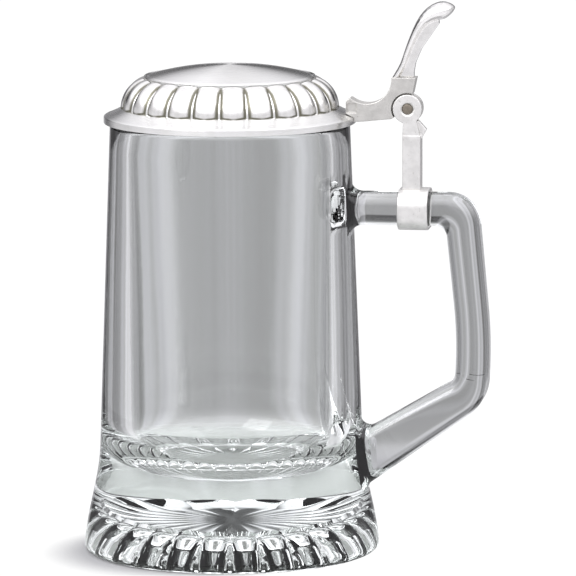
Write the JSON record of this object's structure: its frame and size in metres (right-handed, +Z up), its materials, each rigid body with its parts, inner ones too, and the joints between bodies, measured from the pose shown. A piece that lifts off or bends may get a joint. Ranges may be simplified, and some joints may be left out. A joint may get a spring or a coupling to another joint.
{
  "type": "beer stein",
  "caption": "Lidded beer stein: thick pressed-glass mug with a star foot and a glass handle, and a hinged gadrooned metal lid with a thumb lift, carried by a band round the handle.",
  "frame": {"origin": "centre of the foot's underside, on the mug's axis, in the plane that the stein stands on", "axes": "+Z up along the mug's axis, +X from the mug's axis towards its handle; the lid's pin runs along Y"},
  "size_m": [0.1471, 0.1066, 0.199],
  "materials": {
    "clear_glass": "gloss",
    "cast_pewter": "satin",
    "polished_pewter": "polished",
    "pin_steel": "satin",
    "liner_plastic": "matte"
  },
  "bodies": {
    "mug": {"glass_body": "clear_glass", "glass_handle": "clear_glass", "clamp_liner": "liner_plastic", "clamp_band": "cast_pewter", "hinge_strap": "cast_pewter", "hinge_pin": "pin_steel"},
    "lid": {"lid_shell": "polished_pewter", "lid_disc": "polished_pewter", "lid_arm": "cast_pewter", "thumb_lift": "polished_pewter"}
  },
  "joints": [
    {"name": "lid_hinge", "type": "hinge", "parent": "mug", "child": "lid", "pos_m": [0.0644, 0, 0.1606], "axis": [0, 1, 0], "range_deg": [0, 118]}
  ]
}
